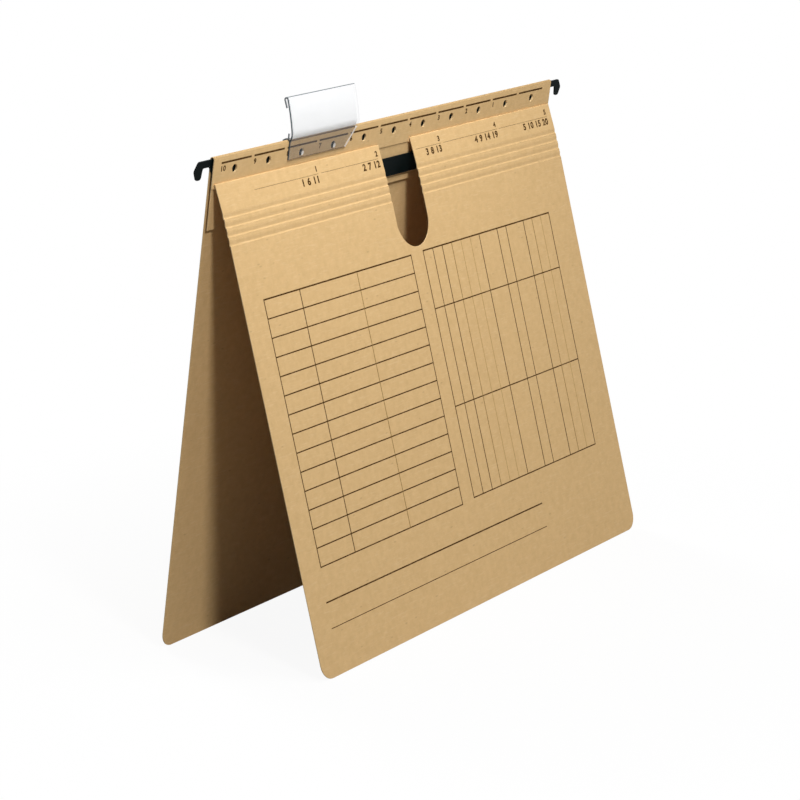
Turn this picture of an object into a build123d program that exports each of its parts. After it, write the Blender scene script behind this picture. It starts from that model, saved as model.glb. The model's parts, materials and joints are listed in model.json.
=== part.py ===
"""Hanging file folder of kraft card, standing open like a tent.

X runs along the suspension rail, the front cover leans towards -Y, +Z is up.
The origin is on the floor, under the middle of the folder.
"""
import os
from math import cos, radians, sin

from build123d import *

# Driving dimensions, in millimetres and degrees

# Card
card_width = 318.0
card_thickness = 0.4
card_corner_radius = 8.0
cover_inset = 1.5
cover_height = 243.5
head_lean = 17.4
panel_lean = 14.0
rear_lean = 8.0
strip_height = 13.5
strip_lip = 2.0
crease_gap = 0.1
fold_gap = 0.15
glue_gap = 0.1

# Row of tab holes in the scale strip
hole_count = 11
hole_pitch = 28.0
hole_diameter = 4.0
hole_height = 6.0
first_hole_inset = 17.4

# Finger slot and scores of the front cover
slot_width = 30.2
slot_depth = 55.0
slot_centre = -1.4
first_score = 15.8
score_pitch = 4.4
score_count = 4

# Suspension rail with its two hooks
rail_thickness = 0.9
rail_clearance = 0.15
rail_bottom = 1.2
rail_end_inset = 1.5
hook_reach = 13.5
hook_arm_height = 3.6
hook_throat = 5.2
hook_root = 1.8
hook_drop = 9.0
hook_tip_set = 1.0
hook_tip_width = 3.6
hook_tip_round = 1.6
hook_round = 0.9
hook_shoulder_set = 3.0
hook_shoulder_round = 1.8

# Filing flap behind the finger slot
flap_height = 22.5
flap_crease_drop = 1.2
flap_hem_height = 11.0
flap_inset = 0.5

# Prong fastener on the flap
prong_spacing = 80.0
prong_width = 5.0
prong_thickness = 0.3
prong_reach = 22.0
prong_bend = 0.4
prong_clearance = 0.35
base_overhang = 6.0
base_height = 8.0
base_thickness = 0.4
bar_length = 132.0
bar_height = 10.0
bar_thickness = 0.8
bar_drop = 8.0
bar_stand_off = 0.7
bar_end_radius = 3.0
seat_gap = 0.05
slider_length = 9.0
slider_wall = 0.4
slider_clearance = 0.1
slider_lip = 2.4
slider_share = 0.54

# Clear index tab clipped into two of the holes, and its label
tab_width = 59.0
tab_wall = 0.8
tab_clearance = 0.1
tab_first_hole = 2
tab_shift = 3.5
tab_leg_drop = 2.2
tab_chamfer_width = 8.9
tab_chamfer_height = 9.5
tab_flare_radius = 2.5
tab_flare_angle = 25.0
tab_bulge_radius = 7.0
tab_back_angle = 12.0
tab_panel_radius = 116.0
tab_panel_curl = 8.0
tab_loop_radius = 0.9
tab_loop_angle = 184.0
tab_lip_length = 4.0
tab_hook_angle = 125.0
tab_hook_tail = 1.8
tab_spur_height = 3.0
tab_spur_angle = 65.0
peg_diameter = 3.4
peg_length = 0.6
peg_dimple_diameter = 2.2
peg_dimple_depth = 0.25
label_width = 57.0
label_thickness = 0.2
label_foot_angle = 20.0

# Sheet layers in front of and behind the scale strip, counted forwards from its middle plane
half_card = card_thickness / 2
edge_gap = half_card + crease_gap
fold_layer = 2 * card_thickness + fold_gap
flap_layer = -(card_thickness + glue_gap)
rail_layer = flap_layer - half_card - rail_clearance - rail_thickness / 2
rear_layer = rail_layer - rail_thickness / 2 - rail_clearance - half_card
wrap_radius = -rear_layer / 2
wrap_height = strip_height - wrap_radius - half_card

# Stretches of the front cover, from the fold over the scores to the foot
score_drops = [first_score + i * score_pitch for i in range(score_count)]
stretch_tops = [0] + score_drops
stretch_lengths = [low - top for top, low in zip(stretch_tops, score_drops + [cover_height])]
score_bend = (head_lean - panel_lean) / score_count
stretch_leans = [radians(head_lean - i * score_bend) for i in range(score_count + 1)]

# Stance: both feet on the floor, the origin midway between them
rear_sin = sin(radians(rear_lean))
rear_cos = cos(radians(rear_lean))
fold_z = sum(length * cos(lean) for length, lean in zip(stretch_lengths, stretch_leans))
fold_z += half_card * sin(stretch_leans[-1])
strip_z = fold_z + fold_layer * rear_sin
rear_height = (strip_z - (rear_layer + half_card) * rear_sin) / rear_cos
front_reach = sum(length * sin(lean) for length, lean in zip(stretch_lengths, stretch_leans))
front_reach += half_card * cos(stretch_leans[-1])
rear_reach = rear_height * rear_sin + (fold_layer - rear_layer + half_card) * rear_cos
fold_y = (front_reach - rear_reach) / 2
strip_y = fold_y + fold_layer * rear_cos

# Faces show X and height along the sheet; sections show forwards and height
strip_face = Plane((0, strip_y, strip_z), x_dir=(1, 0, 0), z_dir=(0, -rear_cos, -rear_sin))
cover_faces = []
stretch_point = Vector(0, fold_y, fold_z)
for length, lean in zip(stretch_lengths, stretch_leans):
    cover_faces.append(Plane(stretch_point, x_dir=(1, 0, 0), z_dir=(0, -cos(lean), sin(lean))))
    stretch_point = cover_faces[-1].from_local_coords(Vector(0, -length, 0))

half_width = card_width / 2
cover_half = half_width - cover_inset
slot_left = slot_centre - slot_width / 2
slot_right = slot_centre + slot_width / 2


def section_of(face):
    """Plane across a face: forwards out of the sheet, and height along it."""
    return Plane(face.origin, x_dir=face.z_dir, z_dir=(-1, 0, 0))


def along_x(section, profile, low, high):
    """Run a section profile along X from low to high."""
    run = extrude(section * profile, amount=(high - low) / 2, both=True)
    return Pos((low + high) / 2, 0, 0) * run


def crease_card(face, layer, low, high, top, bottom):
    """Card hanging from a crease, its upper edge rounded about the crease axis."""
    sheet = Pos(layer, (top + bottom) / 2) * Rectangle(card_thickness, top - bottom)
    edge = Pos(layer, top) * Circle(half_card)
    return along_x(section_of(face), sheet + edge, low, high)


def block(face, low, high, layer_low, layer_high):
    """Plain block on a face plane, between two corners and two layers."""
    size = (high[0] - low[0], high[1] - low[1], layer_high - layer_low)
    centre = Pos((low[0] + high[0]) / 2, (low[1] + high[1]) / 2, (layer_low + layer_high) / 2)
    return face * (centre * Box(*size))


def round_foot(card, face):
    """Round the two lowest corners of a card."""
    corners = card.edges().filter_by(Axis((0, 0, 0), tuple(face.z_dir))).sort_by(Axis.Z)[:2]
    return fillet(corners, card_corner_radius)


def hole_place(index):
    return -half_width + first_hole_inset + index * hole_pitch


def tab_holes(layer):
    """Cutters for the row of tab holes through one sheet."""
    holes = [Pos(hole_place(index), hole_height) * Circle(hole_diameter / 2) for index in range(hole_count)]
    return [extrude(strip_face.offset(layer) * hole, edge_gap, both=True) for hole in holes]


def make_back_card():
    """Rear panel, wrap over the rail and punched scale strip, with the cover's hem glued to its foot."""
    strip_top = (0, wrap_height)
    rear_top = (rear_layer, wrap_height)
    strip_line = Line((0, -strip_lip), strip_top)
    wrap_line = ThreePointArc(strip_top, (rear_layer / 2, wrap_height + wrap_radius), rear_top)
    rear_line = Line(rear_top, (rear_layer, -rear_height))
    profile = trace([strip_line, wrap_line, rear_line], card_thickness)
    card = along_x(section_of(strip_face), profile, -half_width, half_width)
    for low, high in ((-cover_half, slot_left), (slot_right, cover_half)):
        card += crease_card(strip_face, card_thickness, low, high, 0, -strip_lip)
    return round_foot(card - tab_holes(0), strip_face)


def make_rail():
    """Flat steel bar inside the wrap, stamped with a hook at each end."""
    top = wrap_height + rail_thickness / 4
    under_arm = top - hook_arm_height
    tip = top - hook_drop
    lobe_low = (under_arm + rail_bottom) / 2
    body_end = half_width - rail_end_inset
    root = half_width + hook_root
    throat_end = root + hook_throat
    tip_start = throat_end + hook_tip_set
    outer = half_width + hook_reach
    corners = [
        ((outer - hook_shoulder_set, top), hook_shoulder_round),
        ((outer, (top + tip) / 2), hook_shoulder_round),
        ((tip_start + hook_tip_width, tip), hook_tip_round),
        ((tip_start, tip), hook_tip_round),
        ((throat_end, under_arm), hook_round),
        ((root, under_arm), hook_round),
        ((body_end, lobe_low), hook_round),
        ((body_end, rail_bottom), hook_round),
    ]
    points = [(0, top)] + [point for point, radius in corners] + [(0, rail_bottom)]
    edge = FilletPolyline(*points, radius=[radius for point, radius in corners])
    half = make_face([edge, Line(points[-1], points[0])])
    bar = half + mirror(half, Plane.YZ)
    return extrude(strip_face.offset(rail_layer) * bar, rail_thickness / 2, both=True)


def make_cover_pieces():
    """Front cover, cut at its scores; the finger slot parts its upper pieces in two."""
    names = ["cover_head"] + [f"score_band_{i}" for i in range(1, score_count)]
    sides = {"left": (-cover_half, slot_left), "right": (slot_right, cover_half)}
    pieces = {}
    for name, face, length in zip(names, cover_faces, stretch_lengths):
        for side, (low, high) in sides.items():
            pieces[f"{name}_{side}"] = crease_card(face, 0, low, high, 0, edge_gap - length)
    panel_face = cover_faces[-1]
    panel = crease_card(panel_face, 0, -cover_half, cover_half, 0, -stretch_lengths[-1])
    slot_low = slot_width / 2 + score_drops[-1] - slot_depth
    slot = Pos(slot_centre, slot_low) * Circle(slot_width / 2)
    slot += Pos(slot_centre, 0) * Rectangle(slot_width, -2 * slot_low)
    panel -= extrude(panel_face * slot, edge_gap, both=True)
    pieces["front_panel"] = round_foot(panel, panel_face)
    return pieces


def make_flap_pieces():
    """Card flap for the fastener, and the punched hem that glues it behind the scale strip."""
    low = -half_width + flap_inset
    high = half_width - flap_inset
    crease = -flap_crease_drop
    hem = block(
        strip_face,
        (low, crease + edge_gap),
        (high, flap_hem_height),
        flap_layer - half_card,
        flap_layer + half_card,
    )
    flap = crease_card(strip_face, flap_layer, low, high, crease, -flap_height)
    return {"flap_hem": hem - tab_holes(flap_layer), "filing_flap": flap - prong_slits(flap_layer)}


def prong_slits(layer):
    """Cutters for the two slits that the prongs pass through."""
    middle = -bar_drop - bar_height / 2
    slit = Rectangle(prong_thickness + 2 * prong_clearance, prong_width + 2 * prong_clearance)
    places = [Pos(side * prong_spacing / 2, middle) * slit for side in (-1, 1)]
    depth = max(card_thickness, bar_thickness)
    return extrude(strip_face.offset(layer) * (places[0] + places[1]), depth, both=True)


# Fastener layers, counted forwards from the scale strip's middle plane
base_layer = flap_layer - half_card - seat_gap - base_thickness / 2
bar_layer = flap_layer + half_card + bar_stand_off + bar_thickness / 2
prong_layer = bar_layer + bar_thickness / 2 + seat_gap + prong_thickness / 2
bar_middle = -bar_drop - bar_height / 2


def make_prong_strip():
    """Stamped steel strip behind the flap with two prongs, bent outwards over the bar."""
    reach = prong_spacing / 2 + base_overhang
    strip = block(
        strip_face,
        (-reach, bar_middle - base_height / 2),
        (reach, bar_middle + base_height / 2),
        base_layer - base_thickness / 2,
        base_layer + base_thickness / 2,
    )
    root = (prong_spacing / 2, base_layer)
    knee = (prong_spacing / 2, prong_layer)
    tip = (prong_spacing / 2 + prong_reach, prong_layer)
    path = FilletPolyline(root, knee, tip, radius=prong_bend)
    section = Plane(strip_face * Pos(0, bar_middle, 0) * Location((0, 0, 0), (90, 0, 0)))
    prong = extrude(section * trace(path, prong_thickness), prong_width / 2, both=True)
    return strip + prong + mirror(prong, Plane.YZ)


def make_cover_bar():
    """Black bar that the prongs are folded over."""
    outline = Pos(0, bar_middle) * RectangleRounded(bar_length, bar_height, bar_end_radius)
    bar = extrude(strip_face.offset(bar_layer) * outline, bar_thickness / 2, both=True)
    return bar - prong_slits(bar_layer)


def make_slider(side):
    """Sleeve that slides on the bar and holds a prong's end down; open at the back."""
    inner_back = bar_layer - bar_thickness / 2 - slider_clearance
    inner_front = prong_layer + prong_thickness / 2 + slider_clearance
    inner_height = bar_height + 2 * slider_clearance
    inner = Pos((inner_back + inner_front) / 2, bar_middle) * Rectangle(inner_front - inner_back, inner_height)
    outer = offset(inner, slider_wall)
    mouth_height = inner_height - 2 * slider_lip
    mouth = Pos(inner_back, bar_middle) * Rectangle(4 * slider_wall, mouth_height)
    root = prong_spacing / 2
    middle = side * (root + slider_share * (bar_length / 2 - root))
    return along_x(
        section_of(strip_face),
        outer - inner - mouth,
        middle - slider_length / 2,
        middle + slider_length / 2,
    )


# Index tab: its section is drawn from the leg upwards, angles counted forwards of straight up
tab_layer = half_card + tab_clearance + tab_wall / 2
tab_middle = (hole_place(tab_first_hole) + hole_place(tab_first_hole + 1)) / 2 + tab_shift
hook_radius = wrap_radius + half_card + tab_clearance + tab_wall / 2
wrap_centre = (rear_layer / 2, wrap_height)


def heading(angle):
    return (sin(radians(angle)), cos(radians(angle)))


def panel_lines(first_angle, last_angle, shift):
    """Bowed panel of the tab, or a line that runs a shift behind it."""
    rise = tab_flare_radius * sin(radians(tab_flare_angle))
    flare = tab_flare_radius * (1 - cos(radians(tab_flare_angle)))
    bulge_centre = (
        tab_layer + flare - tab_bulge_radius * cos(radians(tab_flare_angle)),
        wrap_height + rise + tab_bulge_radius * sin(radians(tab_flare_angle)),
    )
    radius = tab_bulge_radius - shift
    start = (
        bulge_centre[0] + radius * cos(radians(first_angle)),
        bulge_centre[1] - radius * sin(radians(first_angle)),
    )
    bulge = JernArc(start, heading(first_angle), radius, first_angle + tab_back_angle)
    upper = JernArc(bulge @ 1, bulge % 1, tab_panel_radius - shift, last_angle)
    return bulge, upper


def make_tab_holder():
    """Clear extruded holder: leg with pegs, bowed panel with a rolled top, hook and spur."""
    leg_foot = hole_height - tab_leg_drop
    leg = Line((tab_layer, leg_foot), (tab_layer, wrap_height))
    flare = JernArc(leg @ 1, (0, 1), tab_flare_radius, -tab_flare_angle)
    bulge, upper = panel_lines(tab_flare_angle, tab_panel_curl, 0)
    loop = JernArc(upper @ 1, upper % 1, tab_loop_radius, tab_loop_angle)
    lip = Line(loop @ 1, loop @ 1 + (loop % 1) * tab_lip_length)
    hook = CenterArc(wrap_centre, hook_radius, 0, tab_hook_angle)
    tail = Line(hook @ 1, hook @ 1 + (hook % 1) * tab_hook_tail)
    spur_root = CenterArc(wrap_centre, hook_radius, 0, tab_spur_angle) @ 1
    spur = Line(spur_root, spur_root + Vector(0, tab_spur_height))
    profile = trace([leg, flare, bulge, upper, loop, lip], tab_wall)
    profile += trace([hook, tail], tab_wall)
    profile += trace(spur, tab_wall)
    low = tab_middle - tab_width / 2
    high = tab_middle + tab_width / 2
    holder = along_x(section_of(strip_face), profile, low, high)
    corner = Polyline(
        (high, leg_foot),
        (high - tab_chamfer_width, leg_foot),
        (high, leg_foot + tab_chamfer_height),
        close=True,
    )
    holder -= extrude(strip_face.offset(tab_layer) * make_face(corner), tab_wall, both=True)
    back = tab_layer - tab_wall / 2
    for index in (tab_first_hole, tab_first_hole + 1):
        place = Pos(hole_place(index), hole_height)
        holder += extrude(strip_face.offset(tab_layer) * (place * Circle(peg_diameter / 2)),
                          -(tab_wall / 2 + peg_length))
        dimple = place * Circle(peg_dimple_diameter / 2)
        holder -= extrude(strip_face.offset(back + tab_wall) * dimple, -peg_dimple_depth)
    return holder


def make_tab_label():
    """Paper label behind the tab's panel, between the spur and the rolled top."""
    shift = tab_wall / 2 + tab_clearance + label_thickness / 2
    profile = trace(panel_lines(label_foot_angle, tab_panel_curl, shift), label_thickness)
    return along_x(section_of(strip_face), profile, tab_middle - label_width / 2, tab_middle + label_width / 2)


parts = {
    "back_card": make_back_card(),
    "rail": make_rail(),
    **make_cover_pieces(),
    **make_flap_pieces(),
    "prong_strip": make_prong_strip(),
    "cover_bar": make_cover_bar(),
    "slider_left": make_slider(-1),
    "slider_right": make_slider(1),
    "tab_holder": make_tab_holder(),
    "tab_label": make_tab_label(),
}

os.makedirs("parts", exist_ok=True)
for node, shape in parts.items():
    export_step(shape, f"parts/{node}.step")
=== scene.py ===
"""Looks of a hanging file folder: kraft card on a black rail, a clear index tab and a prong fastener."""
import json
from math import cos, pi, radians, sin

import bpy
from mathutils import Matrix, Vector


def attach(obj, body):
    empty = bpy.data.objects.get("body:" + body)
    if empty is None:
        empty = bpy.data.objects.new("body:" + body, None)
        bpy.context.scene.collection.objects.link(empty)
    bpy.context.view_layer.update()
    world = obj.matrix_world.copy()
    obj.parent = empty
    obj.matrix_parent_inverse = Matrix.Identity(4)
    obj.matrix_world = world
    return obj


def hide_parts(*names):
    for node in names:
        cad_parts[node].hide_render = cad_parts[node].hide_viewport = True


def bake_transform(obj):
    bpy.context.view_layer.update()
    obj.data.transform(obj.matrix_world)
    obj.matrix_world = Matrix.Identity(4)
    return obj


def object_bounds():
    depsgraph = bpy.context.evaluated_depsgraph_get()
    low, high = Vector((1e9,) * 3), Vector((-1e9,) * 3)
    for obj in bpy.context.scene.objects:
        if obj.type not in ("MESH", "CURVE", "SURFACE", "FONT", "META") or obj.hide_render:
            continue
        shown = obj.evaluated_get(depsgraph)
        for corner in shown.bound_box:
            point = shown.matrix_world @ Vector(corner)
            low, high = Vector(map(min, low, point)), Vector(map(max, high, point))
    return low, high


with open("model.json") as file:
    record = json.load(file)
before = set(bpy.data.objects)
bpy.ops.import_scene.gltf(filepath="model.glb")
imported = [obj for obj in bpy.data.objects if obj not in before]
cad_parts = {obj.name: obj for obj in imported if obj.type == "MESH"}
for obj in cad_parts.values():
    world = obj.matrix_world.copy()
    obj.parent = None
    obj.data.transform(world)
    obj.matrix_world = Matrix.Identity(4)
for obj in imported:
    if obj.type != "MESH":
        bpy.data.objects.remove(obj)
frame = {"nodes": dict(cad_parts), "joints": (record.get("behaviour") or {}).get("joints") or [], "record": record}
cad_low, cad_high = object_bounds()


# Back sheet
# One sheet of kraft card: rear panel, wrap over the rail, and the scale strip in front.
# It is die cut with a row of tab holes, and the wrap is glued round the rail.
# The wrap's crest takes a darker card colour: painted shade that dims the bright light falling on its top.

mm = 0.001
tiny = 0.01 * mm
weld = 0.001 * mm
half_card = 0.2 * mm
card_corner = 8.0 * mm
corner_steps = 12
card_softness = 0.06 * mm
card_rim_angle = radians(50)
smooth_angle = radians(20)
wrap_steps = 14
strip_lip = 2.0 * mm
hole_count = 11
hole_pitch = 28.0 * mm
hole_radius = 2.0 * mm
hole_height = 6.0 * mm
first_hole_inset = 17.4 * mm
round_sides = 40
crest_rise = 0.2 * mm
face_finish = 0
edge_finish = 1
kraft_dark = (0.655, 0.432, 0.195, 1)
kraft_light = (0.735, 0.494, 0.233, 1)
kraft_fibre = (0.80, 0.59, 0.33, 1)
kraft_fleck = (0.36, 0.21, 0.09, 1)
kraft_cut = (0.83, 0.63, 0.36, 1)
# Darker card colours for the wrap's crest: painted shade.
shaded_crest_dark = (0.49, 0.318, 0.140, 1)
shaded_crest_light = (0.55, 0.364, 0.168, 1)
shaded_crest_fibre = (0.60, 0.430, 0.230, 1)


def joint_point(name):
    joint = next(joint for joint in frame["joints"] if joint["name"] == name)
    return Vector(joint["pos_m"])


def sheet_plane(point, up):
    """Place of a sheet: X along the rail, Y up the sheet, Z forwards out of its middle."""
    along = Vector((1, 0, 0))
    up = up.normalized()
    place = Matrix((along, up, along.cross(up))).transposed().to_4x4()
    place.translation = point
    return place


def box_on(node, place):
    """Lowest and highest corner of a node, measured on a sheet's own axes."""
    inverse = place.inverted()
    points = [inverse @ vertex.co for vertex in frame["nodes"][node].data.vertices]
    low = Vector(min(point[axis] for point in points) for axis in range(3))
    high = Vector(max(point[axis] for point in points) for axis in range(3))
    return low, high


def feed(tree, socket, value):
    """Link a socket to another's output, or give it a value of its own."""
    if isinstance(value, bpy.types.NodeSocket):
        tree.links.new(value, socket)
    else:
        socket.default_value = value


def add_node(tree, kind, sockets, **settings):
    """A shader node with its settings, its socket values and its links."""
    node = tree.nodes.new(kind)
    for name, value in settings.items():
        setattr(node, name, value)
    for name, value in sockets.items():
        feed(tree, node.inputs[name], value)
    return node


def new_group(name, inputs, outputs):
    """An empty shader group: a vector and some values go in, and values come out."""
    group = bpy.data.node_groups.new(name, "ShaderNodeTree")
    group.interface.new_socket("Vector", in_out="INPUT", socket_type="NodeSocketVector")
    for socket in inputs:
        group.interface.new_socket(socket, in_out="INPUT", socket_type="NodeSocketFloat")
    for socket in outputs:
        group.interface.new_socket(socket, in_out="OUTPUT", socket_type="NodeSocketFloat")
    return group, group.nodes.new("NodeGroupInput"), group.nodes.new("NodeGroupOutput")


def new_material(name):
    """A material with its tree, its Principled shader and the object's own coordinates."""
    material = bpy.data.materials.new(name)
    material.use_nodes = True
    tree = material.node_tree
    coordinates = tree.nodes.new("ShaderNodeTexCoord").outputs["Object"]
    return material, tree, tree.nodes["Principled BSDF"], coordinates


def blend_colours(tree, share, first, second):
    mix = add_node(tree, "ShaderNodeMix", {}, data_type="RGBA")
    sockets = {socket.identifier: socket for socket in mix.inputs}
    feed(tree, sockets["Factor_Float"], share)
    feed(tree, sockets["A_Color"], first)
    feed(tree, sockets["B_Color"], second)
    return next(socket for socket in mix.outputs if socket.identifier == "Result_Color")


def spread(tree, value, low, high, new_low=0.0, new_high=1.0):
    """A value between low and high, mapped to another range and clamped there."""
    sockets = {"Value": value, "From Min": low, "From Max": high, "To Min": new_low, "To Max": new_high}
    return add_node(tree, "ShaderNodeMapRange", sockets).outputs["Result"]


def reckon(tree, operation, first, second):
    return add_node(tree, "ShaderNodeMath", {0: first, 1: second}, operation=operation).outputs["Value"]


def add_noise(tree, vector, scale, detail, roughness=0.5):
    sockets = {"Vector": vector, "Scale": scale, "Detail": detail, "Roughness": roughness}
    return add_node(tree, "ShaderNodeTexNoise", sockets).outputs["Fac"]


def draw_out(tree, vector, turn, squeeze):
    """Coordinates turned about Y and squeezed along X, so that a pattern on them is drawn out."""
    sockets = {"Vector": vector, "Rotation": (0.0, radians(turn), 0.0), "Scale": (squeeze, 1.0, 1.0)}
    return add_node(tree, "ShaderNodeMapping", sockets).outputs["Vector"]


def add_bump(tree, shader, height, strength, depth):
    bump = add_node(tree, "ShaderNodeBump", {"Height": height, "Strength": strength, "Distance": depth})
    tree.links.new(bump.outputs["Normal"], shader.inputs["Normal"])


# Pulp, as it shows in card, paper and print. Levels say where a noise starts to show and where it is full.
pulp_cloud_scale = 260.0
pulp_fibre_scale = 1500.0
cloud_levels = (0.30, 0.70)
fibre_turns = (12.0, 74.0, 131.0)
fibre_squeeze = 0.09
fibre_levels = (0.60, 0.74)
fibre_height = 0.5
fibre_share = 0.30
fibre_polish = 0.12
fleck_turn = 35.0
fleck_squeeze = 0.35
fleck_coarseness = 0.22
fleck_levels = (0.16, 0.08)
fleck_chance = (0.80, 0.86)
fleck_share = 0.32
pulp_bump = 0.5
pulp_specular = 0.3


def make_fibre_group():
    """Pulp fibres: clouds of thick and thin pulp, long fibres three ways, and stray bark flecks."""
    group, entry, result = new_group(
        "pulp_fibres", ["Cloud Scale", "Fibre Scale"], ["Cloud", "Fibre", "Fleck", "Height"])
    vector = entry.outputs["Vector"]
    fibre_scale = entry.outputs["Fibre Scale"]
    cloud = add_noise(group, vector, entry.outputs["Cloud Scale"], detail=6.0, roughness=0.68)
    grain = add_noise(group, vector, fibre_scale, detail=3.0, roughness=0.6)
    streaks = 0.0
    for turn in fibre_turns:
        noise = add_noise(group, draw_out(group, vector, turn, fibre_squeeze), fibre_scale, detail=2.0)
        streaks = reckon(group, "MAXIMUM", spread(group, noise, *fibre_levels), streaks)
    cells = add_node(group, "ShaderNodeTexVoronoi", {
        "Vector": draw_out(group, vector, fleck_turn, fleck_squeeze),
        "Scale": reckon(group, "MULTIPLY", fibre_scale, fleck_coarseness)})
    near = spread(group, cells.outputs["Distance"], *fleck_levels)
    chance = add_node(group, "ShaderNodeSeparateColor", {"Color": cells.outputs["Color"]})
    rare = spread(group, chance.outputs["Red"], *fleck_chance)
    raised = reckon(group, "MULTIPLY", streaks, fibre_height)
    group.links.new(spread(group, cloud, *cloud_levels), result.inputs["Cloud"])
    group.links.new(streaks, result.inputs["Fibre"])
    group.links.new(reckon(group, "MULTIPLY", near, rare), result.inputs["Fleck"])
    group.links.new(reckon(group, "ADD", raised, grain), result.inputs["Height"])
    return group


def add_pulp(tree, coordinates, cloud_scale, fibre_scale):
    """The shared pulp fibres, placed in one material at its own scales."""
    sockets = {"Vector": coordinates, "Cloud Scale": cloud_scale, "Fibre Scale": fibre_scale}
    return add_node(tree, "ShaderNodeGroup", sockets, node_tree=pulp_fibres).outputs


def make_fibre_material(name, dark, light, fibre, fleck, roughness, depth):
    """Paper or card in its own colours, with the shared pulp fibres and a bump of that depth."""
    material, tree, shader, coordinates = new_material(name)
    pulp = add_pulp(tree, coordinates, pulp_cloud_scale, pulp_fibre_scale)
    ground = blend_colours(tree, pulp["Cloud"], dark, light)
    fibred = blend_colours(tree, reckon(tree, "MULTIPLY", pulp["Fibre"], fibre_share), ground, fibre)
    flecked = blend_colours(tree, reckon(tree, "MULTIPLY", pulp["Fleck"], fleck_share), fibred, fleck)
    polished = spread(tree, pulp["Fibre"], 0.0, 1.0, roughness, roughness - fibre_polish)
    tree.links.new(flecked, shader.inputs["Base Color"])
    tree.links.new(polished, shader.inputs["Roughness"])
    add_bump(tree, shader, pulp["Height"], pulp_bump, depth)
    shader.inputs["Specular IOR Level"].default_value = pulp_specular
    return material


def lay_rectangle(name, low, high, layer=0.0, rows=None):
    """Flat rectangle between two corners of a sheet, lying at the origin; one that bends has rows."""
    bpy.ops.object.select_all(action="DESELECT")
    middle = ((low[0] + high[0]) / 2, (low[1] + high[1]) / 2, layer)
    if rows:
        bpy.ops.mesh.primitive_grid_add(x_subdivisions=1, y_subdivisions=rows, size=1, location=middle)
    else:
        bpy.ops.mesh.primitive_plane_add(size=1, location=middle)
    sheet = bpy.context.object
    sheet.name = name
    sheet.scale = (high[0] - low[0], high[1] - low[1], 1)
    bpy.ops.object.transform_apply(location=True, rotation=True, scale=True)
    return sheet


def choose(piece):
    """Select one piece alone and make it the active one."""
    bpy.ops.object.select_all(action="DESELECT")
    piece.select_set(True)
    bpy.context.view_layer.objects.active = piece


def pick(piece, kind, test):
    """Edit mode with only the vertices, edges or faces selected whose middle passes the test."""
    if bpy.context.mode != "OBJECT":
        bpy.ops.object.mode_set(mode="OBJECT")
    choose(piece)
    bpy.ops.object.mode_set(mode="EDIT")
    bpy.ops.mesh.select_mode(type=kind)
    bpy.ops.mesh.select_all(action="DESELECT")
    bpy.ops.object.mode_set(mode="OBJECT")
    mesh = piece.data
    elements = {"VERT": mesh.vertices, "EDGE": mesh.edges, "FACE": mesh.polygons}[kind]
    for element in elements:
        if kind == "VERT":
            middle = element.co
        elif kind == "EDGE":
            ends = [mesh.vertices[index].co for index in element.vertices]
            middle = (ends[0] + ends[1]) / 2
        else:
            middle = element.center
        element.select = test(middle)
    bpy.ops.object.mode_set(mode="EDIT")


def leave_edit():
    bpy.ops.object.mode_set(mode="OBJECT")


def close_up():
    """Merge the doubles of the mesh in edit mode, turn its faces one way and leave edit mode."""
    bpy.ops.mesh.select_all(action="SELECT")
    bpy.ops.mesh.remove_doubles(threshold=tiny)
    bpy.ops.mesh.normals_make_consistent(inside=False)
    leave_edit()


def round_corners(sheet, test):
    pick(sheet, "VERT", test)
    bpy.ops.mesh.bevel(offset=card_corner, segments=corner_steps, affect="VERTICES")
    leave_edit()


def join(pieces, name):
    choose(pieces[0])
    for piece in pieces[1:]:
        piece.select_set(True)
    if len(pieces) > 1:
        bpy.ops.object.join()
    pieces[0].name = name
    return pieces[0]


def dress(piece, *materials):
    piece.data.materials.clear()
    for material in materials:
        piece.data.materials.append(material)


def apply_modifier(piece, kind, **settings):
    """Add a modifier with its settings and apply it at once."""
    choose(piece)
    modifier = piece.modifiers.new(kind.title(), kind)
    for name, value in settings.items():
        setattr(modifier, name, value)
    bpy.ops.object.modifier_apply(modifier=modifier.name)


def stand(piece, place):
    """Carry a piece from the bench to its place and keep that place in its mesh."""
    choose(piece)
    piece.matrix_world = place
    bpy.ops.object.transform_apply(location=True, rotation=True, scale=True)
    bpy.ops.object.shade_smooth_by_angle(angle=smooth_angle)


def set_in(piece, place, body, node):
    """Stand a piece in its place, riding on its body, instead of its plain node."""
    stand(piece, place)
    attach(piece, body)
    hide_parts(node)


def drill(x, y, radius, depth):
    """A round cutter through a sheet."""
    bpy.ops.object.select_all(action="DESELECT")
    bpy.ops.mesh.primitive_cylinder_add(
        vertices=round_sides, radius=radius, depth=depth, location=(x, y, 0))
    bpy.ops.object.transform_apply(location=True, rotation=True, scale=True)
    return bpy.context.object


def thicken_card(sheet):
    """Give a flat sheet the card's thickness; its rim takes the cut edge's material."""
    dress(sheet, kraft, kraft_edge)
    apply_modifier(sheet, "SOLIDIFY", thickness=2 * half_card, offset=0, use_even_offset=True,
                   material_offset_rim=edge_finish)


def punch(sheet, cutters):
    """Cut shapes out of a thickened sheet, leaving bare cut edges."""
    cutter = join(cutters, "cutter")
    dress(cutter, kraft, kraft_edge)
    for face in cutter.data.polygons:
        face.material_index = edge_finish
    apply_modifier(sheet, "BOOLEAN", operation="DIFFERENCE", object=cutter, solver="EXACT")
    bpy.data.objects.remove(cutter)


def finish_card(sheet, place, body, node):
    """Soften the rims of a thickened sheet and set it in."""
    apply_modifier(sheet, "BEVEL", width=card_softness, segments=2, limit_method="ANGLE",
                   angle_limit=card_rim_angle)
    set_in(sheet, place, body, node)


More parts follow.
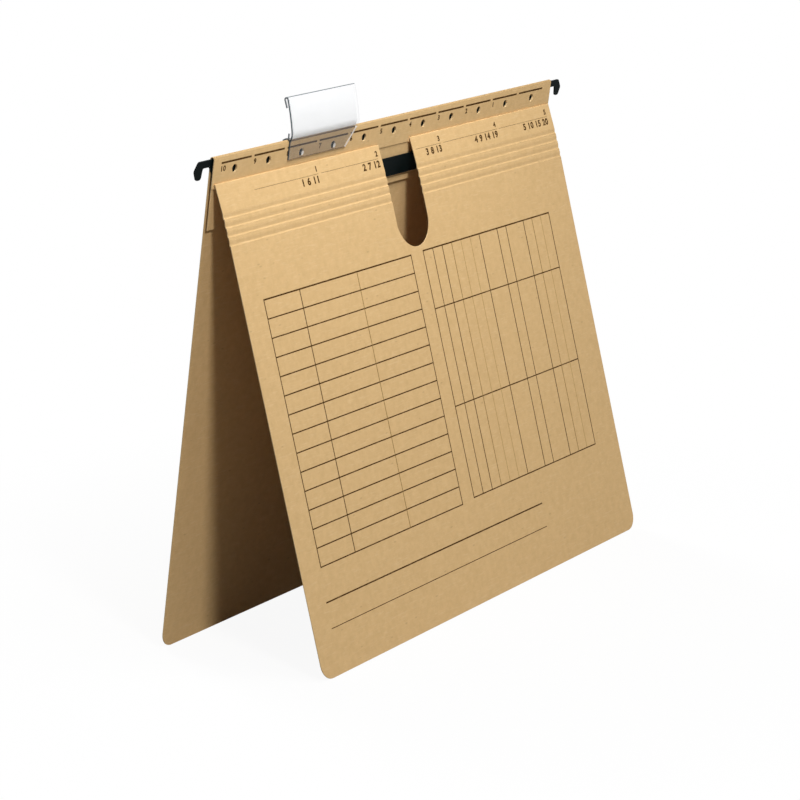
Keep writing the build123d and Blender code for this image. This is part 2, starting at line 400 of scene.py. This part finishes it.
fold = joint_point("cover_fold")
rail_mount = next(mount for mount in frame["record"]["mounts"] if mount["name"] == "hook_left")
fold_place = sheet_plane(fold, -Vector(rail_mount["axis"]))
hem_front = box_on("back_card", fold_place)[1].z
strip_place = fold_place @ Matrix.Translation((0, 0, hem_front - 3 * half_card))
to_strip = strip_place.inverted()
back_low, back_high = box_on("back_card", strip_place)
card_left = back_low.x
card_right = back_high.x
rear_layer = back_low.z + half_card
wrap_top = back_high.y - half_card + rear_layer / 2
hole_places = [card_left + first_hole_inset + index * hole_pitch for index in range(hole_count)]

pulp_fibres = make_fibre_group()
kraft = make_fibre_material(
    "kraft_card", kraft_dark, kraft_light, kraft_fibre, kraft_fleck, roughness=0.82, depth=0.05 * mm)
kraft_edge = make_fibre_material(
    "kraft_cut_edge", kraft_light, kraft_cut, kraft_fibre, kraft_dark, roughness=0.9, depth=0.08 * mm)
kraft_crest_painted_shade = make_fibre_material(
    "kraft_crest_painted_shade", shaded_crest_dark, shaded_crest_light, shaded_crest_fibre, kraft_fleck, roughness=0.82, depth=0.05 * mm)

back_sheet = lay_rectangle("back_sheet", (card_left, back_low.y), (card_right, wrap_top), rear_layer)
round_corners(back_sheet, lambda point: point.y < 0)
pick(back_sheet, "EDGE", lambda point: point.y > wrap_top - tiny)
bpy.ops.mesh.spin(steps=wrap_steps, angle=-pi, center=(0, wrap_top, rear_layer / 2), axis=(1, 0, 0))
pick(back_sheet, "EDGE", lambda point: point.z > -tiny)
bpy.ops.mesh.extrude_region_move(TRANSFORM_OT_translate={"value": (0, -strip_lip - wrap_top, 0)})
close_up()
thicken_card(back_sheet)
punch(back_sheet, [drill(x, hole_height, hole_radius, depth=-rear_layer) for x in hole_places])
finish_card(back_sheet, strip_place, "back", "back_card")
# Faces above the crest line take the darker colours: painted shade on the wrap's lamp-lit top.
back_sheet.data.materials.append(kraft_crest_painted_shade)
shaded_crest_index = back_sheet.data.materials.find(kraft_crest_painted_shade.name)
for face in back_sheet.data.polygons:
    if face.material_index == face_finish and (to_strip @ face.center).y > wrap_top + crest_rise:
        face.material_index = shaded_crest_index


# Scale printed on the strip
# Dark ink on the card: a ruled line broken above each number, and plain numbers from 10 to 1.
# The film is thinner than a hair and lies on the card's face.

ink_lift = 0.02 * mm
ink_sink = 0.01 * mm
scale_line_height = 10.0 * mm
scale_line_weight = 0.95 * mm
scale_line_ends = (-152.8 * mm, 149.8 * mm)
scale_pitch = 27.8 * mm
scale_first_break = -127.2 * mm
scale_break_half = 1.15 * mm
scale_first_number = -151.2 * mm
scale_number_set = 2.1 * mm
scale_number_height = 7.0 * mm
scale_number_size = 3.5 * mm
figure_boldness = 0.043
figure_stretch = 1.15
figure_spacing = 1.12
figure_steps = 6
ink_black = (0.040, 0.016, 0.003, 1)
ink_brown = (0.095, 0.043, 0.009, 1)
ink_cloud_scale = 700.0
ink_fibre_scale = 2400.0
ink_roughness = (0.62, 0.8)
ink_specular = 0.05


def make_ink(name, full, thin, coverage):
    """Printing ink on card: fuller and thinner patches where the pulp takes it up."""
    material, tree, shader, coordinates = new_material(name)
    pulp = add_pulp(tree, coordinates, ink_cloud_scale, ink_fibre_scale)
    ground = blend_colours(tree, pulp["Cloud"], full, thin)
    showing = reckon(tree, "MULTIPLY", pulp["Fibre"], 1.0 - coverage)
    dull = spread(tree, pulp["Cloud"], 0.0, 1.0, *ink_roughness)
    tree.links.new(blend_colours(tree, showing, ground, kraft_light), shader.inputs["Base Color"])
    tree.links.new(dull, shader.inputs["Roughness"])
    shader.inputs["Specular IOR Level"].default_value = ink_specular
    return material


def rule(x_low, y_low, x_high, y_high, weight):
    """One printed line along X or up the sheet, widened to its weight."""
    half = weight / 2
    if y_low == y_high:
        return lay_rectangle("rule", (x_low, y_low - half), (x_high, y_high + half))
    return lay_rectangle("rule", (x_low - half, y_low), (x_high + half, y_high))


def letter(text, x, y, size, align):
    """Printed figures, centred or ending at a place, in strokes as bold as their size allows."""
    bpy.ops.object.select_all(action="DESELECT")
    bpy.ops.object.text_add(location=(x, y, 0))
    figures = bpy.context.object
    figures.data.body = text
    figures.data.size = size
    figures.data.align_x = align
    figures.data.align_y = "CENTER"
    figures.data.resolution_u = figure_steps
    figures.data.space_character = figure_spacing
    figures.data.offset = figure_boldness * size
    figures.scale = (figure_stretch, 1, 1)
    bpy.ops.object.convert(target="MESH")
    bpy.ops.object.transform_apply(location=True, rotation=True, scale=True)
    return bpy.context.object


def print_on(name, marks, ink, place, body):
    """Join printed marks into one film of ink on a sheet's front face."""
    film = join(marks, name)
    dress(film, ink)
    pick(film, "FACE", lambda point: True)
    bpy.ops.mesh.remove_doubles(threshold=weld)
    leave_edit()
    apply_modifier(film, "SOLIDIFY", thickness=ink_lift + ink_sink, offset=1)
    stand(film, place @ Matrix.Translation((0, 0, half_card - ink_sink)))
    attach(film, body)


dark_ink = make_ink("ink_black", ink_black, ink_brown, coverage=0.75)

breaks = [scale_first_break + index * scale_pitch for index in range(hole_count - 1)]
line_starts = [scale_line_ends[0]] + [x + scale_break_half for x in breaks]
line_stops = [x - scale_break_half for x in breaks] + [scale_line_ends[1]]
scale_marks = [rule(start, scale_line_height, stop, scale_line_height, scale_line_weight)
               for start, stop in zip(line_starts, line_stops)]
number_places = [scale_first_number] + [x + scale_number_set for x in breaks[:-1]]
for index, x in enumerate(number_places):
    number = str(hole_count - 1 - index)
    scale_marks.append(letter(number, x, scale_number_height, scale_number_size, "CENTER"))
print_on("scale_print", scale_marks, dark_ink, strip_place, "back")


# Front cover
# The cover is one sheet with a finger slot, pressed with four score lines so that it can swell.
# The flat stretches turn with their own bodies; the pressed creases between them are laid at rest.

panel_lean = radians(14.0)
slot_middle = -1.4 * mm
slot_half = 15.1 * mm
slot_depth = 55.0 * mm
slot_left = slot_middle - slot_half
slot_right = slot_middle + slot_half
cutter_depth = 10 * half_card
score_names = ["score_1", "score_2", "score_3", "score_4"]
score_above = 1.95 * mm
score_below = 1.15 * mm
score_root = 0.25 * mm
score_depth = 0.34 * mm
score_rows = 16
fold_rows = 10
fold_flat = 0.8 * mm
cover_bodies = ["cover_head", "score_band_1", "score_band_2", "score_band_3", "front_panel"]


def lay_card(name, low, high, place, body, node):
    """A plain cut stretch of card, thickened, softened and set on its body."""
    card = lay_rectangle(name, low, high)
    thicken_card(card)
    finish_card(card, place, body, node)


def groove(height):
    """Depth of a pressed score at a height above its axis: a long slope to the root, a short one out."""
    run = score_above + score_root if height > -score_root else score_below - score_root
    return score_depth * (1 + cos(pi * (height + score_root) / run)) / 2


def press_score(name):
    """Both stretches of one pressed score beside the slot: a rounded groove, raised behind."""
    stretches = [lay_rectangle(name, (low, -score_below), (high, score_above), rows=score_rows)
                 for low, high in cover_sides.values()]
    score = join(stretches, name)
    for row in range(1, score_rows):
        height = row / score_rows * (score_above + score_below) - score_below
        pick(score, "VERT", lambda point: abs(point.y - height) < tiny)
        bpy.ops.transform.translate(value=(0, 0, -groove(height)))
        leave_edit()
    thicken_card(score)
    return score


def copy_piece(piece, name):
    copied = bpy.data.objects.new(name, piece.data.copy())
    bpy.context.scene.collection.objects.link(copied)
    return copied


# The cover bends a little at each score. Every stretch has its own plane, on which heights are still
# counted along the sheet from the fold.
cover_points = [fold] + [joint_point(name) for name in score_names]
cover_ups = [upper - lower for upper, lower in zip(cover_points, cover_points[1:])]
cover_ups.append(Vector((0, sin(panel_lean), cos(panel_lean))))
score_drops = []
for up in cover_ups[:-1]:
    score_drops.append((score_drops[-1] if score_drops else 0) - up.length)
cover_places = [sheet_plane(point, up) @ Matrix.Translation((0, -drop, 0))
                for point, up, drop in zip(cover_points, cover_ups, [0] + score_drops)]
head_place = cover_places[0]
panel_place = cover_places[-1]
panel_low, panel_high = box_on("front_panel", panel_place)
cover_sides = {"left": (panel_low.x, slot_left), "right": (slot_right, panel_high.x)}

# The head lies between the fold and the first score; each band lies between two scores.
tops = [-fold_flat] + [drop - score_below for drop in score_drops[:-1]]
for body, place, top, drop in zip(cover_bodies, cover_places, tops, score_drops):
    for side, (low, high) in cover_sides.items():
        lay_card(f"{body}_card_{side}", (low, drop + score_above), (high, top), place, body,
                 f"{body}_{side}")

panel = lay_rectangle("front_panel_card", (panel_low.x, panel_low.y),
                      (panel_high.x, score_drops[-1] - score_below))
round_corners(panel, lambda point: point.y < panel_low.y + tiny)
thicken_card(panel)
slot_cutter = drill(slot_middle, slot_half - slot_depth, slot_half, cutter_depth)
pick(slot_cutter, "VERT", lambda point: point.y > slot_half - slot_depth - tiny)
bpy.ops.transform.translate(value=(0, slot_depth, 0))
leave_edit()
punch(panel, [slot_cutter])
finish_card(panel, panel_place, "front_panel", "front_panel")

pressed = press_score("score_crease")
for index, name in enumerate(score_names):
    upper = cover_ups[index].normalized()
    lower = cover_ups[index + 1].normalized()
    place = sheet_plane(cover_points[index + 1], upper + lower)
    crease = copy_piece(pressed, f"{name}_crease")
    stand(crease, place)
    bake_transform(crease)
bpy.data.objects.remove(pressed)

# At the fold the sheet rolls over backwards, and its hem runs down the strip, where it is glued.
lean = strip_place.col[1].to_3d().angle(head_place.col[1].to_3d())
roll_radius = ((to_strip @ fold).z - 2 * half_card) / (1 + cos(lean))
roll_end = Vector((0, roll_radius * sin(lean), -roll_radius * (1 + cos(lean))))
hem_run = (0, -strip_lip * cos(lean), -strip_lip * sin(lean))
stretches = [lay_rectangle("fold", (low, -fold_flat), (high, 0)) for low, high in cover_sides.values()]
fold_crease = join(stretches, "fold_crease")
pick(fold_crease, "EDGE", lambda point: point.y > -tiny)
bpy.ops.mesh.spin(steps=fold_rows, angle=pi - lean, center=(0, 0, -roll_radius), axis=(1, 0, 0))
pick(fold_crease, "EDGE", lambda point: (point - roll_end).yz.length < tiny)
bpy.ops.mesh.extrude_region_move(TRANSFORM_OT_translate={"value": hem_run})
close_up()
thicken_card(fold_crease)
stand(fold_crease, head_place)
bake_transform(fold_crease)


# Index printed along the cover's head
# A dotted line broken after each of five column numbers, with groups of plain numbers below it.
# Same ink as the scale.

index_line_drop = 6.45 * mm
index_dot = 0.5 * mm
index_dot_pitch = 0.85 * mm
index_dot_weight = 0.28 * mm
index_runs = ((-128.2 * mm, -19.3 * mm), (16.4 * mm, 152.4 * mm))
index_ends = (-73.8 * mm, -19.2 * mm, 40.7 * mm, 98.0 * mm, 152.4 * mm)
index_break = 2.4 * mm
index_number_drop = 3.95 * mm
index_number_size = 3.8 * mm
index_group_drop = 9.3 * mm
index_group_size = 4.8 * mm
index_group_lengths = (3, 3, 3, 4, 4)

index_marks = []
for start, stop in index_runs:
    dots = int((stop - start) / index_dot_pitch)
    for dot in range(dots):
        x = start + dot * index_dot_pitch
        if not any(end < x < end + index_break for end in index_ends):
            index_marks.append(rule(x, -index_line_drop, x + index_dot, -index_line_drop, index_dot_weight))
for column, (end, length) in enumerate(zip(index_ends, index_group_lengths), start=1):
    index_marks.append(letter(str(column), end, -index_number_drop, index_number_size, "RIGHT"))
    group = " ".join(str(column + len(index_ends) * step) for step in range(length))
    index_marks.append(letter(group, end, -index_group_drop, index_group_size, "RIGHT"))
print_on("index_print", index_marks, dark_ink, head_place, "cover_head")


# Tables and lines printed on the front panel
# Two ruled tables side by side, and two writing lines below them.
# Heavy rules are dark; light rules are hairlines that the card shows through.

table_head_weight = 0.78 * mm
table_weight = 0.62 * mm
thin_weight = 0.56 * mm
left_table = {"left": -140.9 * mm, "right": -9.7 * mm, "top": -58.5 * mm, "foot": -190.6 * mm}
left_rows = 14
left_column = -110.8 * mm
left_light_column = -60.2 * mm
right_table = {"left": 2.1 * mm, "right": 132.3 * mm, "top": -58.1 * mm, "foot": -189.7 * mm}
right_rows = (-88.9 * mm, -140.9 * mm)
right_column_count = 14
right_columns = (2, 6, 8, 11)
right_thin_columns = (1, 9)
right_light_columns = (3, 12)
right_faint_columns = (4, 5, 13)
writing_left = -142.6 * mm
writing_right = 65.8 * mm
writing_drops = (-207.9 * mm, -220.8 * mm)
writing_weights = (0.75 * mm, 0.4 * mm)
ink_light = (0.24, 0.135, 0.040, 1)
ink_light_thin = (0.36, 0.220, 0.075, 1)
ink_faint = (0.44, 0.275, 0.105, 1)
ink_faint_thin = (0.56, 0.370, 0.150, 1)


def table_frame(left, right, top, foot):
    half = table_weight / 2
    across = [rule(left - half, top, right + half, top, table_head_weight),
              rule(left - half, foot, right + half, foot, table_weight)]
    upright = [rule(x, foot, x, top, table_weight) for x in (left, right)]
    return across + upright


def right_columns_ruled(numbers, weight):
    """Uprights of the right table, counted in columns from its left edge."""
    places = [right_table["left"] + number * column_width for number in numbers]
    return [rule(x, right_table["foot"], x, right_table["top"], weight) for x in places]


light_ink = make_ink("ink_light", ink_light, ink_light_thin, coverage=0.6)
faint_ink = make_ink("ink_faint", ink_faint, ink_faint_thin, coverage=0.6)

left, right, top, foot = left_table.values()
row_height = (top - foot) / left_rows
heavy_marks = table_frame(**left_table)
heavy_marks += [rule(left, top - row * row_height, right, top - row * row_height, table_weight)
                for row in range(1, left_rows)]
heavy_marks.append(rule(left_column, foot, left_column, top, table_weight))
light_marks = [rule(left_light_column, foot, left_light_column, top, thin_weight)]

column_width = (right_table["right"] - right_table["left"]) / right_column_count
heavy_marks += table_frame(**right_table)
heavy_marks += [rule(right_table["left"], y, right_table["right"], y, table_weight) for y in right_rows]
heavy_marks += right_columns_ruled(right_columns, table_weight)
heavy_marks += right_columns_ruled(right_thin_columns, thin_weight)
light_marks += right_columns_ruled(right_light_columns, thin_weight)
faint_marks = right_columns_ruled(right_faint_columns, thin_weight)

heavy_marks += [rule(writing_left, y, writing_right, y, weight)
                for y, weight in zip(writing_drops, writing_weights)]
print_on("table_print", heavy_marks, dark_ink, panel_place, "front_panel")
print_on("hairline_print", light_marks, light_ink, panel_place, "front_panel")
print_on("faint_line_print", faint_marks, faint_ink, panel_place, "front_panel")


# Rail
# Flat steel bar, stamped with a hook at each end, pushed through the wrap.
# It is dipped in black lacquer, which thins out along the stamped edges.

rail_softness = 0.12 * mm
flat_angle = radians(1)
sharp_angle = radians(40)
lacquer_black = (0.001, 0.003, 0.003, 1)
lacquer_grey = (0.003, 0.006, 0.006, 1)
lacquer_edge = (0.014, 0.017, 0.017, 1)
smudge_coarseness = 0.12
smudge_levels = (0.3, 0.7)
scratch_turns = (8.0, 97.0)
scratch_squeeze = 0.05
scratch_fineness = 1.6
scratch_levels = (0.66, 0.76)
scratch_share = 0.5
dull_levels = (0.0, 1.4)
skin_bump = 0.35


def make_scuff_group():
    """Handling marks: smudges, fine scratches two ways, and the skin of a dipped or moulded face."""
    group, entry, result = new_group("scuffs", ["Scale"], ["Smudge", "Scratch", "Skin"])
    vector = entry.outputs["Vector"]
    scale = entry.outputs["Scale"]
    smudge_scale = reckon(group, "MULTIPLY", scale, smudge_coarseness)
    scratch_scale = reckon(group, "MULTIPLY", scale, scratch_fineness)
    smudge = add_noise(group, vector, smudge_scale, detail=5.0, roughness=0.65)
    scratches = 0.0
    for turn in scratch_turns:
        noise = add_noise(group, draw_out(group, vector, turn, scratch_squeeze), scratch_scale, detail=1.0)
        scratches = reckon(group, "MAXIMUM", spread(group, noise, *scratch_levels), scratches)
    group.links.new(spread(group, smudge, *smudge_levels), result.inputs["Smudge"])
    group.links.new(scratches, result.inputs["Scratch"])
    group.links.new(add_noise(group, vector, scale, detail=2.0), result.inputs["Skin"])
    return group


def make_hard_material(name, dark, light, smooth, rough, metallic, shine, scale, depth):
    """Hard finish in two close colours, duller where it is smudged or scratched."""
    material, tree, shader, coordinates = new_material(name)
    sockets = {"Vector": coordinates, "Scale": scale}
    marks = add_node(tree, "ShaderNodeGroup", sockets, node_tree=scuffs).outputs
    ground = blend_colours(tree, marks["Smudge"], dark, light)
    scratched = reckon(tree, "MULTIPLY", marks["Scratch"], scratch_share)
    worn = reckon(tree, "ADD", marks["Smudge"], scratched)
    tree.links.new(blend_colours(tree, scratched, ground, light), shader.inputs["Base Color"])
    tree.links.new(spread(tree, worn, *dull_levels, smooth, rough), shader.inputs["Roughness"])
    add_bump(tree, shader, marks["Skin"], skin_bump, depth)
    shader.inputs["Metallic"].default_value = metallic
    shader.inputs["Specular IOR Level"].default_value = shine
    return material


def refine(node, name, softness, face, edge, body):
    """A merged copy of a node whose edges are softened; the softened rims take the edge's material."""
    piece = copy_piece(frame["nodes"][node], name)
    dress(piece, face, edge)
    pick(piece, "VERT", lambda point: True)
    bpy.ops.mesh.remove_doubles(threshold=weld)
    bpy.ops.mesh.dissolve_limited(angle_limit=flat_angle)
    leave_edit()
    apply_modifier(piece, "BEVEL", width=softness, segments=2, limit_method="ANGLE",
                   angle_limit=sharp_angle, material=edge_finish)
    set_in(piece, Matrix.Identity(4), body, node)
    return piece


scuffs = make_scuff_group()
lacquer = make_hard_material(
    "black_lacquer", lacquer_black, lacquer_grey, smooth=0.38, rough=0.6, metallic=0.0, shine=0.03,
    scale=900.0, depth=0.01 * mm)
lacquer_rim = make_hard_material(
    "black_lacquer_rim", lacquer_grey, lacquer_edge, smooth=0.34, rough=0.5, metallic=0.0, shine=0.12,
    scale=900.0, depth=0.01 * mm)
refine("rail", "hook_rail", rail_softness, lacquer, lacquer_rim, "back")


# Filing flap
# A shallow kraft flap, about as wide as the card, hangs behind the cover and carries the fastener.
# Its upper edge is glued behind the strip, and it bends along the crease below that hem.

flap_rows = 6
slit_half = 0.5 * mm
slit_half_height = 2.85 * mm
prong_half_spacing = 40.0 * mm

hem_low, hem_high = box_on("flap_hem", strip_place)
flap_low, flap_high = box_on("filing_flap", strip_place)
bar_low, bar_high = box_on("cover_bar", strip_place)
flap_layer = (flap_low.z + flap_high.z) / 2
bar_middle = (bar_low.y + bar_high.y) / 2
flap_axis = (to_strip @ joint_point("flap_swing")).y
crease_foot = 2 * flap_axis - hem_low.y
flap_place = strip_place @ Matrix.Translation((0, 0, flap_layer))

hem = lay_rectangle("flap_hem_card", (hem_low.x, hem_low.y), (hem_high.x, hem_high.y))
thicken_card(hem)
punch(hem, [drill(x, hole_height, hole_radius, cutter_depth) for x in hole_places])
finish_card(hem, flap_place, "back", "flap_hem")

flap = lay_rectangle("filing_flap_card", (flap_low.x, flap_low.y), (flap_high.x, crease_foot))
thicken_card(flap)
slits = []
for x in (-prong_half_spacing, prong_half_spacing):
    slit = lay_rectangle("slit", (x - slit_half, bar_middle - slit_half_height),
                         (x + slit_half, bar_middle + slit_half_height))
    apply_modifier(slit, "SOLIDIFY", thickness=cutter_depth, offset=0)
    slits.append(slit)
punch(flap, slits)
finish_card(flap, flap_place, "flap", "filing_flap")

flap_crease = lay_rectangle("flap_crease", (flap_low.x, crease_foot), (flap_high.x, hem_low.y),
                            rows=flap_rows)
thicken_card(flap_crease)
stand(flap_crease, flap_place)
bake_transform(flap_crease)


# Fastener
# A tinned steel strip behind the flap has two prongs, bent outwards over a black bar.
# Two black plastic sleeves slide along the bar and hold the prong ends down.

tin_dark = (0.52, 0.52, 0.50, 1)
tin_light = (0.72, 0.72, 0.70, 1)
plastic_black = (0.012, 0.012, 0.013, 1)
plastic_grey = (0.024, 0.024, 0.026, 1)
bar_softness = 0.12 * mm
strip_softness = 0.05 * mm
slider_softness = 0.08 * mm

tinned = make_hard_material(
    "tinned_steel", tin_dark, tin_light, smooth=0.22, rough=0.42, metallic=1.0, shine=0.5,
    scale=1400.0, depth=0.004 * mm)
tinned_rim = make_hard_material(
    "tinned_steel_rim", tin_light, tin_light, smooth=0.2, rough=0.35, metallic=1.0, shine=0.5,
    scale=1400.0, depth=0.004 * mm)
black_plastic = make_hard_material(
    "black_plastic", plastic_black, plastic_grey, smooth=0.42, rough=0.62, metallic=0.0, shine=0.25,
    scale=1800.0, depth=0.012 * mm)
refine("prong_strip", "prong_strip_tinned", strip_softness, tinned, tinned_rim, "flap")
refine("cover_bar", "cover_bar_lacquered", bar_softness, lacquer, lacquer_rim, "flap")
for side in ("left", "right"):
    refine(f"slider_{side}", f"slider_sleeve_{side}", slider_softness, black_plastic, black_plastic,
           f"slider_{side}")


# Index tab and its label
# Clear extruded plastic, cut to length: a leg with two pegs, a bowed panel, a rolled top and a rear hook.
# It clips into two holes over the wrap, and a white paper label stands behind its panel.
# Its faces are tinted by their place: the leg, its foot, the left rim and the cut faces carry painted shade, and
# the chamfer and peg dimples a painted highlight.

tab_softness = 0.07 * mm
tab_neck = 0.9 * mm
tab_rim = 0.55 * mm
roll_line = 0.14 * mm
dimple_reach = 1.5 * mm
label_softness = 0.04 * mm
clear_refraction = 1.49
cut_outside = 0.9
cut_inside = 0.08
clear_tint = (0.90, 0.92, 0.94, 1)
clear_smoke = (0.80, 0.83, 0.86, 1)
# Leg colours: painted shade, darker than the panel where the leg lies over the card.
leg_shade_tint = (0.25, 0.25, 0.26, 1)
leg_shade_smoke = (0.19, 0.20, 0.21, 1)
# Cut colours: painted shade on the cut faces and the rolled top.
cut_shade_tint = (0.055, 0.085, 0.105, 1)
cut_shade_dark = (0.030, 0.050, 0.065, 1)
# Rim colours: painted shade in a band along the panel's left end.
rim_shade_tint = (0.20, 0.25, 0.30, 1)
rim_shade_smoke = (0.14, 0.18, 0.22, 1)
# Foot colours: painted shade along the leg's lower edge.
foot_shade_tint = (0.10, 0.055, 0.045, 1)
foot_shade_smoke = (0.06, 0.035, 0.030, 1)
# Glint colours: a painted highlight on the chamfer and the peg dimples.
glint_tint = (0.97, 0.94, 0.90, 1)
glint_smoke = (0.90, 0.87, 0.83, 1)
paper_shade = (0.87, 0.87, 0.87, 1)
paper_white = (0.91, 0.91, 0.905, 1)
paper_fibre = (0.94, 0.94, 0.94, 1)
paper_fleck = (0.70, 0.70, 0.72, 1)


def make_clear_plastic(name, dark, light, alpha):
    """Clear plastic film, a little cloudy from handling."""
    material = make_hard_material(
        name, dark, light, smooth=0.08, rough=0.22, metallic=0.0, shine=0.3, scale=500.0, depth=0.006 * mm)
    shader = material.node_tree.nodes["Principled BSDF"]
    shader.inputs["Alpha"].default_value = alpha
    shader.inputs["IOR"].default_value = clear_refraction
    return material


# A face looks along an axis when more than this share of its normal does; a slanted cut isn't square on.
facing = 0.4
square_on = 0.9


def tab_finish(point, out):
    """Tint of one face of the tab, by its place on the strip and the way it faces; all but the plain panel carry
    painted shade or a painted highlight.
    """
    in_leg = point.y < wrap_top + tab_neck
    if any((point - Vector((x, hole_height, point.z))).length < dimple_reach for x in peg_places):
        return clear_glint if out.z > facing else leg_painted_shade
    if in_leg and facing < out.x < square_on:
        return clear_glint
    if abs(out.x) > facing or point.y > tab_high.y - roll_line:
        return cut_painted_shade
    if in_leg and out.y < -facing:
        return foot_painted_shade
    if point.x < tab_low.x + tab_rim:
        return rim_painted_shade
    return leg_painted_shade if in_leg else clear_panel


clear_panel = make_clear_plastic("clear_plastic", clear_smoke, clear_tint, alpha=0.1)
leg_painted_shade = make_clear_plastic("clear_plastic_leg_painted_shade", leg_shade_smoke, leg_shade_tint, alpha=0.18)
cut_painted_shade = make_clear_plastic("clear_plastic_cut_painted_shade", cut_shade_dark, cut_shade_tint, alpha=cut_outside)
rim_painted_shade = make_clear_plastic("clear_plastic_rim_painted_shade", rim_shade_smoke, rim_shade_tint, alpha=0.45)
foot_painted_shade = make_clear_plastic("clear_plastic_foot_painted_shade", foot_shade_smoke, foot_shade_tint, alpha=0.7)
clear_glint = make_clear_plastic("clear_plastic_glint", glint_smoke, glint_tint, alpha=0.6)

# A cut face is painted dark from outside, as painted shade for the way its edge refracts, and clear from within.
cut_tree = cut_painted_shade.node_tree
cut_side = cut_tree.nodes.new("ShaderNodeNewGeometry").outputs["Backfacing"]
cut_alpha = spread(cut_tree, cut_side, 0.0, 1.0, cut_outside, cut_inside)
cut_tree.links.new(cut_alpha, cut_tree.nodes["Principled BSDF"].inputs["Alpha"])

tab = refine("tab_holder", "index_tab", tab_softness, clear_panel, cut_painted_shade, "back")
for material in (leg_painted_shade, rim_painted_shade, foot_painted_shade, clear_glint):
    tab.data.materials.append(material)
tab_low, tab_high = box_on("tab_holder", strip_place)
peg_places = [x for x in hole_places if tab_low.x < x < tab_high.x]
for x in (tab_low.x + tab_rim, tab_high.x - tab_rim):
    pick(tab, "FACE", lambda point: True)
    bpy.ops.mesh.bisect(plane_co=(x, 0, 0), plane_no=(1, 0, 0))
    leave_edit()
for face in tab.data.polygons:
    face_tint = tab_finish(to_strip @ face.center, to_strip.to_3x3() @ face.normal)
    face.material_index = tab.data.materials.find(face_tint.name)

label_paper = make_fibre_material(
    "label_paper", paper_shade, paper_white, paper_fibre, paper_fleck, roughness=0.7, depth=0.02 * mm)
refine("tab_label", "tab_label_paper", label_softness, label_paper, label_paper, "label")


# Studio
# A pale floor under a far lamp from the front left, a soft box close overhead and a far lamp behind,
# in faint light from all round. The camera stands where the photograph was taken.

white = (1, 1, 1, 1)
floor_reach = 12.0
floor_drop = 0.05 * mm
floor_roughness = 0.9
floor_seen = (0.95, 0.95, 0.95, 1)
floor_bounce = (0.39, 0.39, 0.39, 1)
floor_share = 0.93
white_from = 0.12
white_beyond = 0.36
# Angles are in degrees, distances and sizes in metres, powers in watts.
lamps = {
    "key_lamp": {"azimuth": -29.5, "elevation": 40.0, "distance": 4.0, "size": 0.65, "power": 86.0},
    "top_lamp": {"azimuth": -22.0, "elevation": 68.0, "distance": 0.52, "size": 0.26, "power": 1.75},
    "back_lamp": {"azimuth": 160.0, "elevation": 34.0, "distance": 4.0, "size": 1.4, "power": 90.0},
}
sky_strength = 0.02
camera_azimuth = -57.39
camera_elevation = 13.95
camera_distance = 1.5648
camera_target = fold + Vector((4.3, 0, -138.04)) * mm
camera_lens = 133.6
camera_sensor = 36.0


def seen_rays(tree):
    """One for rays that the camera sees, straight or by way of gloss or clear plastic."""
    path = tree.nodes.new("ShaderNodeLightPath")
    seen = reckon(tree, "MAXIMUM", path.outputs["Is Camera Ray"], path.outputs["Is Glossy Ray"])
    return reckon(tree, "MAXIMUM", seen, path.outputs["Is Transmission Ray"])


def place_around(name, data, target, azimuth, elevation, distance):
    """A lamp or camera that looks at a target: azimuth 0 is straight in front, negative to the left."""
    around = radians(azimuth)
    up = radians(elevation)
    outwards = Vector((sin(around) * cos(up), -cos(around) * cos(up), sin(up)))
    placed = bpy.data.objects.new(name, data)
    bpy.context.scene.collection.objects.link(placed)
    placed.location = target + outwards * distance
    placed.rotation_euler = (-outwards).to_track_quat("-Z", "Y").to_euler()
    return placed


bpy.ops.object.select_all(action="DESELECT")
bpy.ops.mesh.primitive_plane_add(size=floor_reach, location=(0, 0, -floor_drop))
floor = bpy.context.object
floor.name = "floor"
floor_material, tree, shader, coordinates = new_material("studio_floor")
shader.inputs["Roughness"].default_value = floor_roughness
shader.inputs["Specular IOR Level"].default_value = 0.0
seen = seen_rays(tree)
tree.links.new(blend_colours(tree, seen, floor_bounce, floor_seen), shader.inputs["Base Color"])
away = add_node(tree, "ShaderNodeVectorMath", {0: coordinates}, operation="LENGTH")
whiteness = spread(tree, away.outputs["Value"], white_from, white_beyond, floor_share, 1.0)
glow = add_node(tree, "ShaderNodeEmission", {"Color": white, "Strength": 1.0})
mix = add_node(tree, "ShaderNodeMixShader", {
    "Fac": reckon(tree, "MULTIPLY", seen, whiteness),
    1: shader.outputs["BSDF"],
    2: glow.outputs["Emission"],
})
tree.links.new(mix.outputs["Shader"], tree.nodes["Material Output"].inputs["Surface"])
floor.data.materials.append(floor_material)

world = bpy.data.worlds.new("studio")
bpy.context.scene.world = world
world.use_nodes = True
tree = world.node_tree
background = tree.nodes["Background"]
background.inputs["Color"].default_value = white
tree.links.new(spread(tree, seen_rays(tree), 0.0, 1.0, sky_strength, 1.0), background.inputs["Strength"])

object_middle = (cad_low + cad_high) / 2
for name, setting in lamps.items():
    light = bpy.data.lights.new(name, "AREA")
    light.shape = "DISK"
    light.size = setting["size"]
    light.energy = setting["power"]
    place_around(name, light, object_middle, setting["azimuth"], setting["elevation"], setting["distance"])

camera_data = bpy.data.cameras.new("camera")
camera_data.sensor_width = camera_sensor
camera_data.lens = camera_lens
camera = place_around(
    "camera", camera_data, camera_target, camera_azimuth, camera_elevation, camera_distance)
bpy.context.scene.camera = camera
bpy.context.scene.view_settings.view_transform = "Standard"
